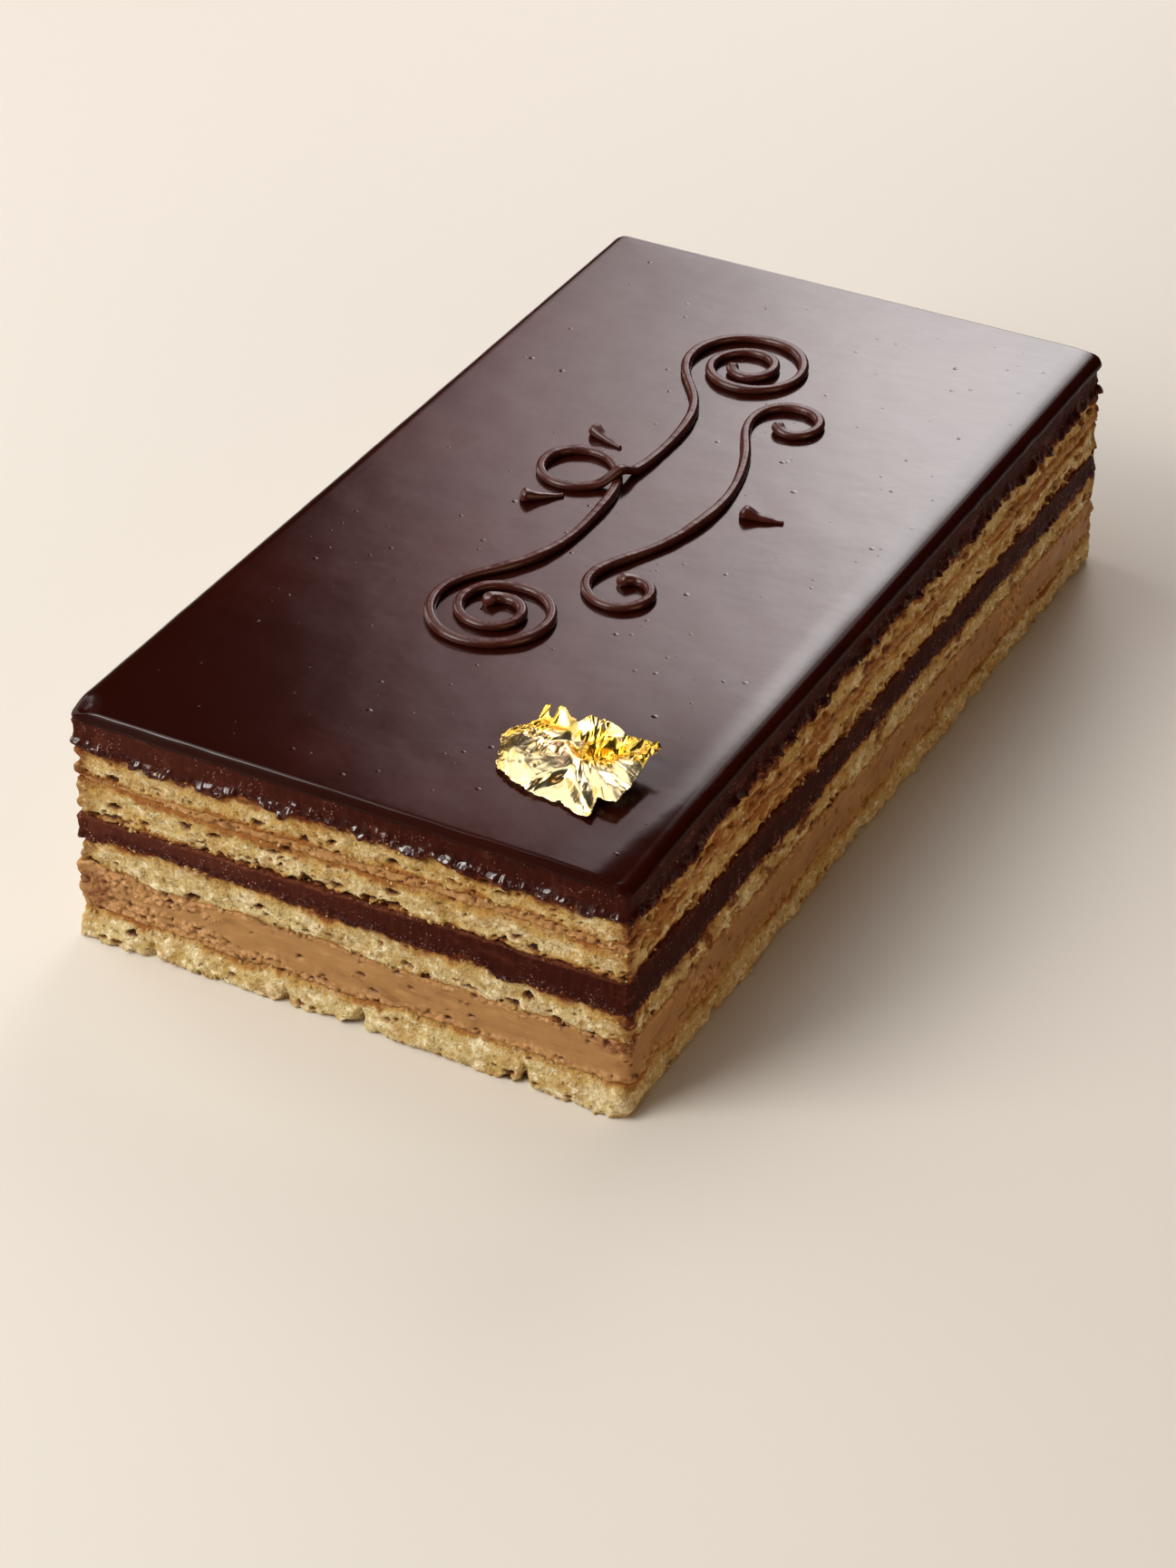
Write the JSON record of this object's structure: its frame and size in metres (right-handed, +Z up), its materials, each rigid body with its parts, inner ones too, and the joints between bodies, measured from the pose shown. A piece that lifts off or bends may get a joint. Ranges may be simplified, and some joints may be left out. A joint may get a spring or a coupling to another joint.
{
  "type": "opera cake",
  "caption": "Oblong layered cake with cut sides: sponge, coffee cream and ganache under a smooth dark glaze with a piped scroll and a crumpled gold leaf.",
  "frame": {"origin": "middle of the underside, on the surface that the cake stands on", "axes": "+Y along the cake, towards the end away from the gold leaf; +X to the leaf's long side; +Z up"},
  "size_m": [0.0938, 0.1779, 0.0457],
  "materials": {
    "sponge": "matte, open crumb",
    "coffee_cream": "satin, cut smooth",
    "ganache": "satin, cut smooth",
    "glaze": "high gloss",
    "piping": "satin",
    "gold": "crumpled, mirror bright"
  },
  "bodies": {
    "root": {"sponge_base": "sponge", "coffee_cream_lower": "coffee_cream", "sponge_second": "sponge", "ganache_middle": "ganache", "sponge_third": "sponge", "coffee_cream_upper": "coffee_cream", "sponge_top": "sponge", "ganache_top": "ganache", "chocolate_glaze": "glaze", "piped_flourish": "piping", "piped_swag": "piping", "piped_drop_left": "piping", "piped_drop_right": "piping", "piped_drop_foot": "piping", "gold_leaf": "gold"}
  },
  "joints": []
}
